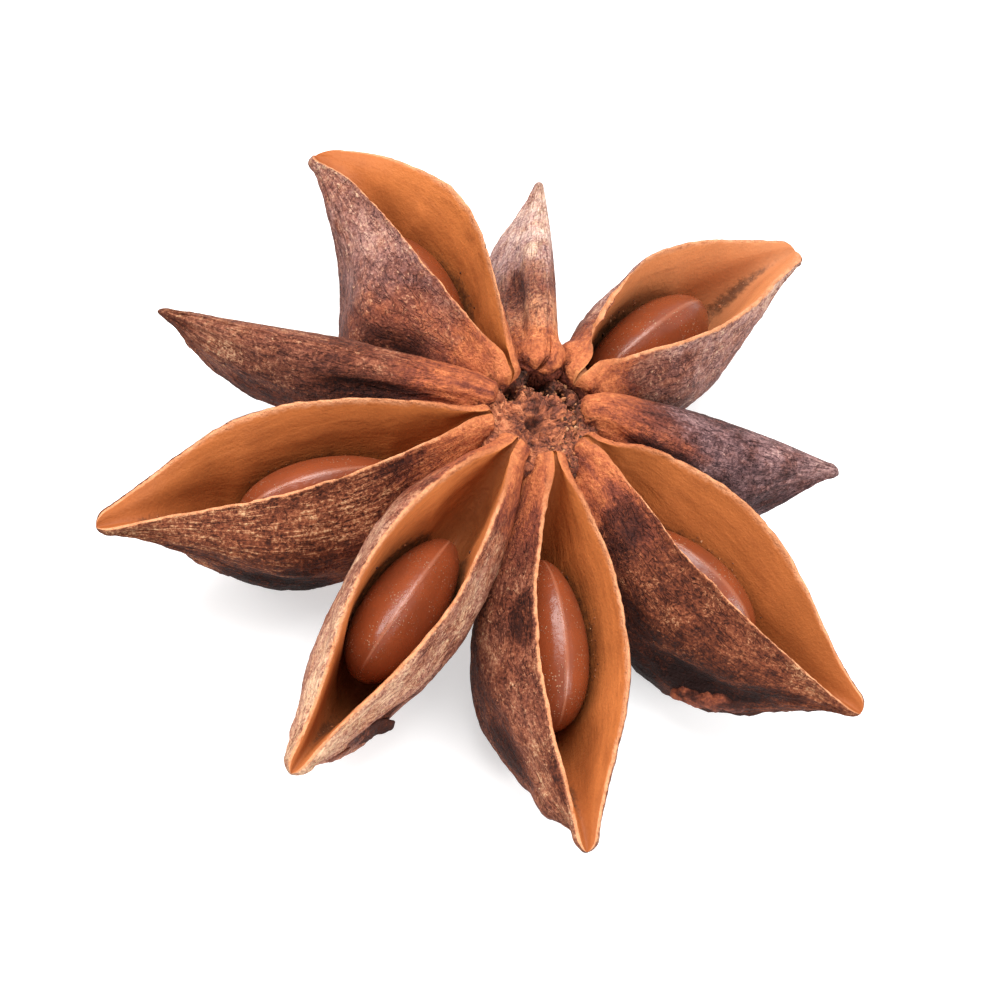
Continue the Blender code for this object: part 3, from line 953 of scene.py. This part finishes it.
# Where loose crumbs lie; on the column this mask paints no shade
loose = rise(east, 0.45, 0.85) + 0.8 * rise(tilt, 0.1, 0.6)
shape = keep(shape, "dusty", loose * rise(radius, 1.15, 1.6) * upper)
shape = keep(shape, "grain", vector(east * 5, north * 5, radius * 1.2), "FLOAT_VECTOR")
shape = place_at(shape, vector(east * radius, north * radius, height) * MM + size.place)
end_tree(column_tree, weld(shape, LOOSE_WELD), size.material)

fibrous_core, tree = new_finish("fibrous_core")
hollow, plates = attribute(tree, "hollow"), attribute(tree, "plates")
grain = attribute(tree, "grain", 1)
point = place_in_mm(tree)
strands = grain_of(grain, 1, 4, 0.7, 0.5)
crumbs = grain_of(point, 3.4, 4, 0.7)
clouds = grain_of(point, 0.8, 2, 0.6)
cracks = rise(abs(grain_of(point + 8, 1.5, 3, 0.6, 0.8)), 0, 0.14, 1, 0)
threads = grain_of(grain * 2.6 + 5, 1, 3, 0.7, 0.3)
tone = 0.42 + 0.22 * strands + 0.24 * crumbs + 0.26 * clouds + 0.16 * plates + 0.16 * threads
# Painted shade: darker where the relief sinks, in the holes and the trench
tone = tone - 0.14 * cracks + 0.4 * ramp(hollow, -1, 0.25, -1, 0)
# Painted shade in the crevice between the column's edge and the carpels' roots
tone = tone - 0.14 * rise(grain.parts()[2] + 0.25 * clouds, 1.9, 2.6)
colour = tones(tone, (
    (0, (0.04, 0.014, 0.008)), (0.28, (0.165, 0.046, 0.026)), (0.5, (0.39, 0.116, 0.05)),
    (0.7, (0.62, 0.22, 0.098)), (1, (0.8, 0.41, 0.2))))
height = 0.5 * strands + 0.7 * crumbs + 0.4 * threads - 0.6 * cracks
finish_surface(tree, colour, rise(crumbs, -1, 1, 0.6, 0.8), height, 0.09)
column = grow("column", column_tree, {"Place": ring_middle, "Material": fibrous_core})
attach(column, "root")
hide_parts("pod")

# ------------------------ the seeds
# One hard, glossy seed stands on its edge in each open carpel: a flattened egg, a little thicker at
# its outer end, with a fine pale ridge along the top.

SEED_SWELL = 0.12
SEED_RIDGE = 0.16
SEED_POINTS = (70, 112)
SEED_STEP = 11


def globe(tree, points):
    """A sheet to close to a globe. Gives how far along its axis each point is, from -1 to 1, how
    wide the ring is there, and where the point is on the ring, sideways and up."""
    sheet, length, across = grid(tree, points)
    polar, angle = length * math.pi, across * (2 * math.pi)
    return sheet, -polar.cosine(), polar.sine(), angle.sine(), angle.cosine()


seed_tree, size = new_tree("seed", (*sizes_of(SEEDS[1]), "Heading", "Variant", "Place", "Material"))
shape, along, ring, beside, above = globe(seed_tree, SEED_POINTS)
side, up = ring * beside, ring * above
thick = 1 + SEED_SWELL * along
crest = rise(abs(side), 0, 0.05, 1, 0) * rise(up, 0.1, 0.5)
roof = ramp(abs(side), 0, 0.55, 1, 0) * rise(up, 0, 0.6)
ridge = SEED_RIDGE * (roof - 0.35) * up.at_least(0) * (1 - along**4)
height = 0.5 * size.height * thick * up + ridge
shape = keep(shape, "crest", crest)
shape = keep(shape, "along", along)
spot = vector(0.5 * size.length * along, 0.5 * SEED_WIDTH * thick * side, height + 0.02 * crest)
spot = turn_about(turn_about(spot, "Y", size.pitch), "Z", size.heading)
shape = weld(place_at(shape, spot * MM + size.place))
dents = grain_of(spot + size.variant, 0.5)
shape = move(shape, outward(shape) * (0.03 * dents) * MM)
end_tree(seed_tree, shape, size.material)

SEED_BROWN = (0.215, 0.046, 0.015)
SEED_DARK = (0.12, 0.026, 0.01)
RIDGE_PALE = (0.45, 0.17, 0.09)
SEED_DUST = (0.48, 0.26, 0.15)

seed_coat, tree = new_finish("seed_coat")
crest, along = attribute(tree, "crest"), attribute(tree, "along")
point = place_in_mm(tree)
cloud = grain_of(point, 0.7, 3, 0.6)
specks = point.node("ShaderNodeTexVoronoi", values={"Vector": point * 8, "Scale": 1})
dust = rise(specks - 0.22 * grain_of(point, 0.9, 3, 0.6), 0.2, 0.08)
streaks = vector(0.7 * along, 2.2 * crest, 0) + point * (1.6, 1.6, 0.6)
streaks = grain_of(streaks, 1, 3, 0.7, 0.4)
colour = between(rise(cloud + 0.3 * streaks, -1, 1, 0, 0.6), SEED_BROWN, SEED_DARK)
colour = between(0.5 * crest, colour, RIDGE_PALE)
colour = between(0.6 * dust, colour, SEED_DUST)
roughness = rise(cloud + 0.5 * streaks + dust, -1, 1.5, 0.22, 0.4)
finish_surface(tree, colour, roughness, cloud + 0.8 * streaks + 2 * dust, 0.012, 0.5)
for number, seed in SEEDS.items():
    seed_low, seed_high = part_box(f"seed_{number}")
    piece = grow(f"seed_coat_{number}", seed_tree, {
        **sizes_of(seed), "Heading": CARPELS[number].heading, "Variant": SEED_STEP * number,
        "Place": 0.5 * (seed_low + seed_high), "Material": seed_coat,
    })
    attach(piece, "root")
    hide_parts(f"seed_{number}")

# ------------------------ the torn shreds
# Bits of the husk that have torn loose and still hang on the outside: a ledge with a curled tab, a
# corky scab and one small flake. Each is a thin, ragged scale fixed to the skin.

# carpel, share, girth, side: where it sits. turn: its direction on the skin, in degrees from the
# carpel's own. lift: how far it stands off. curl: how far its outer end and its edges bend up.
# ragged: how uneven. tone: how pale, and fresh: how orange, as bare tissue is.
Shred = namedtuple("Shred", (
    "carpel share girth side turn length width thick lift end_curl side_curl ragged tone fresh"))
SHREDS = (
    Shred(7, 0.700, -4.90, 1, 172, 2.4, 0.80, 0.34, -0.06, 0.40, 0.10, 0.16, 0.54, 0.45),
    Shred(5, 0.680, -4.95, -1, 3, 3.3, 1.30, 0.60, -0.05, 0.00, -0.12, 0.50, 0.24, 0.58),
    Shred(7, 0.850, -4.80, 1, 0, 1.5, 0.70, 0.26, -0.05, 0.00, 0.06, 0.25, 0.44, 0.10),
)

SHRED_POINTS = (60, 80)
SHRED_STEP = 5

shred_tree, size = new_tree("shred", (
    "Length", "Width", "Thick", "End Curl", "Side Curl", "Ragged", "Variant", "Material"))
shape, along, ring, beside, above = globe(shred_tree, SHRED_POINTS)
ring = ring**0.8
uneven = vector(along * 2.2, rise(beside, -0.1, 0.1), size.variant)
outline = ring * (0.5 + size.ragged * grain_of(uneven, 1, 2, 0.55))
bend = size.end_curl * rise(along, 0.3, 1) + size.side_curl * beside * beside * ring
spot = vector(0.5 * size.length * along, size.width * outline * beside,
              bend + 0.5 * size.thick * ring * above)
lumps = grain_of(spot + size.variant, 1.8, 4, 0.75)
knobs = grain_of(spot + size.variant + 7, 4.5, 2, 0.6)
pits = abs(grain_of(spot + size.variant + 13, 1.3, 3, 0.65, 0.6))
pits = rise(pits, 0, 0.22, 1, 0)
crust = 1.9 * lumps + 0.8 * knobs - 1.5 * pits
crust = size.ragged * rise(above, -0.4, 0.3) * crust * size.thick * ring
shape = weld(place_at(shape, spot * MM), LOOSE_WELD)
shape = keep(shape, "crust", lumps - 1.6 * pits)
shape = move(shape, vector(0, 0.25 * size.ragged * knobs, crust) * MM)
end_tree(shred_tree, shape, size.material)


def place_on(mesh, shred):
    """A frame on a carpel's skin: along it, across it and straight out, and the point itself."""
    share, girth, half = read_skin(mesh)

    def nearest(further):
        miss = 20 * np.abs(share - (shred.share + further)) + np.abs(girth - shred.girth)
        return mesh.vertices[int(np.argmin(miss + 100 * (half != shred.side)))]

    spot = nearest(0)
    along = nearest(0.06).co - nearest(-0.06).co
    out = spot.normal.normalized()
    across = out.cross(along).normalized()
    return Matrix((across.cross(out), across, out)).transposed(), spot.co.copy()


def torn_skin(number, shred):
    """Torn tissue: dark where it is old skin and orange-brown, with dark pits, where it is bare."""
    finish, tree = new_finish(f"torn_skin_{number}")
    crust = attribute(tree, "crust")
    point = place_in_mm(tree)
    fine = grain_of(point, 7, 3, 0.7)
    cloud = grain_of(point, 1.5, 3, 0.7)
    tone = shred.tone + 0.28 * crust + 0.18 * fine + 0.12 * cloud
    fresh = rise(cloud + 0.6 * crust, -1.1 * shred.fresh, 0.9 - 1.1 * shred.fresh)
    colour = between(fresh, tones(tone, SKIN_TONES), tones(tone + 0.08, ROOT_TONES))
    roughness = rise(fine, -1, 1, 0.65, 0.85)
    finish_surface(tree, colour, roughness, 0.5 * crust + 0.5 * fine, 0.06, 0.16)
    return finish


for number, shred in enumerate(SHREDS, 1):
    piece = grow(f"shred_{number}", shred_tree, {
        **sizes_of(shred), "Variant": SHRED_STEP * number, "Material": torn_skin(number, shred),
    })
    facing, spot = place_on(pieces[shred.carpel].data, shred)
    facing = facing @ Matrix.Rotation(math.radians(shred.turn), 3, "Z")
    lifted = Matrix.Translation((0, 0, shred.lift * MM))
    piece.data.transform(Matrix.Translation(spot) @ facing.to_4x4() @ lifted)
    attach(piece, "root")
    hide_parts("pod")

# ------------------------ crumbs and dust
# Broken bits of husk and resin lie where they have fallen: round the seeds in the hollows and in
# the torn top of the column. They are small irregular grains, stuck to the surface.


def any_number(host, seed):
    """A number from 0 to 1 for each crumb."""
    return host.node("FunctionNodeRandomValue", {"data_type": "FLOAT"}, {"Seed": seed}, 1)


def any_vector(host, low, high, seed):
    return host.node("FunctionNodeRandomValue", {"data_type": "FLOAT_VECTOR"}, {
        "Min": low, "Max": high, "Seed": seed})


crumb_tree, size = new_tree("crumbs", ("Ground", "Density", "Smallest", "Largest", "Material"))
ground = size.ground.node(
    "GeometryNodeObjectInfo", {"transform_space": "ORIGINAL"}, {"Object": size.ground}, "Geometry")
spread = size.density * kept(ground, "dusty")
points = ground.node("GeometryNodeDistributePointsOnFaces", {"distribute_method": "RANDOM"}, {
    "Mesh": ground, "Density": spread * 1e6, "Seed": 7})
stone = ground.node(
    "GeometryNodeMeshIcoSphere", values={"Radius": MM, "Subdivisions": 2}, give="Mesh")
scale = size.smallest + (size.largest - size.smallest) * any_number(ground, 3)**2.5
turn = any_vector(ground, (0, 0, 0), (6, 6, 6), 5)
stretch = any_vector(ground, (0.6, 0.5, 0.4), (1.5, 1.1, 0.8), 9)
grains = points.node("GeometryNodeInstanceOnPoints", values={
    "Points": points, "Instance": stone, "Rotation": turn, "Scale": stretch * scale})
grains = keep(grains, "pale", any_number(ground, 11) ** 1.5, domain="INSTANCE")
grains = keep(grains, "bulk", scale, domain="INSTANCE")
grains = change(grains, "GeometryNodeRealizeInstances")
bulk = kept(grains, "bulk")
rough = grains.node("ShaderNodeTexNoise", {"normalize": True}, {
    "Vector": place_now(grains) * (1 / MM) / bulk, "Scale": 0.9, "Detail": 1})
grains = move(grains, outward(grains) * (rough - 0.5) * (bulk * (2.1 * MM)))
end_tree(crumb_tree, grains, size.material)

husk_crumbs, tree = new_finish("husk_crumbs")
fine = grain_of(place_in_mm(tree), 9, 2, 0.6)
colour = tones(attribute(tree, "pale") + 0.12 * fine, (
    (0, (0.045, 0.016, 0.009)), (0.4, (0.19, 0.062, 0.028)), (0.75, (0.39, 0.135, 0.052)),
    (0.92, (0.43, 0.18, 0.078)), (1, (0.5, 0.26, 0.135))))
finish_surface(tree, colour, rise(fine, -1, 1, 0.55, 0.8), fine, 0.02, 0.3)

# What the crumbs lie on, how many there are on a square mm, and their smallest and largest radius
Crumbs = namedtuple("Crumbs", "ground density smallest largest")
CARPEL_CRUMBS = (7, 0.015, 0.07)
COARSE_CRUMBS = (7, 0.015, 0.10)
fields = {"crumbs_column": Crumbs(column, 28, 0.035, 0.12)}
for number in SEEDS:
    amount = COARSE_CRUMBS if number in (3, 7) else CARPEL_CRUMBS
    fields[f"crumbs_{number}"] = Crumbs(pieces[number], *amount)
for name, field in fields.items():
    piece = grow(name, crumb_tree, {**sizes_of(field), "Material": husk_crumbs})
    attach(piece, "root")
    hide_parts("pod")

# ------------------------ the studio
# A pale floor under three soft boxes, with the camera above and in front, rolled a little.

DISTANCE = 250
LENS = 230.4
SENSOR = 36.0
ELEVATION = math.radians(54)
ROLL = math.radians(28)
AIM = (-1.65, -3.65)

toward = Vector((0, -math.cos(ELEVATION), math.sin(ELEVATION)))
raised = Vector((0, math.sin(ELEVATION), math.cos(ELEVATION)))
right = Vector((1, 0, 0)) * math.cos(ROLL) + raised * math.sin(ROLL)
up = Vector((-1, 0, 0)) * math.sin(ROLL) + raised * math.cos(ROLL)
eye = ring_middle + toward * DISTANCE * MM
target = ring_middle + (right * AIM[0] + up * AIM[1]) * MM
back = (eye - target).normalized()
side = up.cross(back).normalized()
camera = show("camera", bpy.data.cameras.new("camera"))
camera.data.lens = LENS
camera.data.sensor_width = SENSOR
camera.data.clip_start, camera.data.clip_end = 0.01, 5
camera.matrix_world = Matrix((side, back.cross(side), back)).transposed().to_4x4()
camera.location = eye
bpy.context.scene.camera = camera

floor_mesh = bpy.data.meshes.new("floor")
floor_mesh.from_pydata([(-3, -3, 0), (3, -3, 0), (3, 3, 0), (-3, 3, 0)], [], [(0, 1, 2, 3)])
floor = show("floor", floor_mesh)
floor.location.z = cad_low.z
card, tree = new_finish("pale_card")
for socket, value in (("Base Color", (0.6, 0.6, 0.6, 1)), ("Emission Color", (1, 1, 1, 1)),
                      ("Emission Strength", 0.55), ("Roughness", 0.9)):
    tree.nodes["Principled BSDF"].inputs[socket].default_value = value
floor_mesh.materials.append(card)

SoftBox = namedtuple("SoftBox", "name place size power")
for box in (
    SoftBox("overhead", (-0.12, 0.06, 0.42), 0.36, 3.2),
    SoftBox("left", (-0.38, -0.18, 0.3), 0.26, 1.6),
    SoftBox("right", (0.4, -0.16, 0.25), 0.28, 1.9),
):
    lamp = bpy.data.lights.new(box.name, "AREA")
    lamp.size = box.size
    lamp.energy = box.power
    light = show(box.name, lamp)
    light.location = box.place
    light.rotation_euler = (-Vector(box.place)).to_track_quat("-Z", "Y").to_euler()
world = bpy.data.worlds.new("studio")
world.use_nodes = True
background = world.node_tree.nodes["Background"]
background.inputs["Color"].default_value = (1.0, 1.0, 1.0, 1.0)
background.inputs["Strength"].default_value = 0.67
bpy.context.scene.world = world
bpy.context.scene.view_settings.view_transform = "Standard"
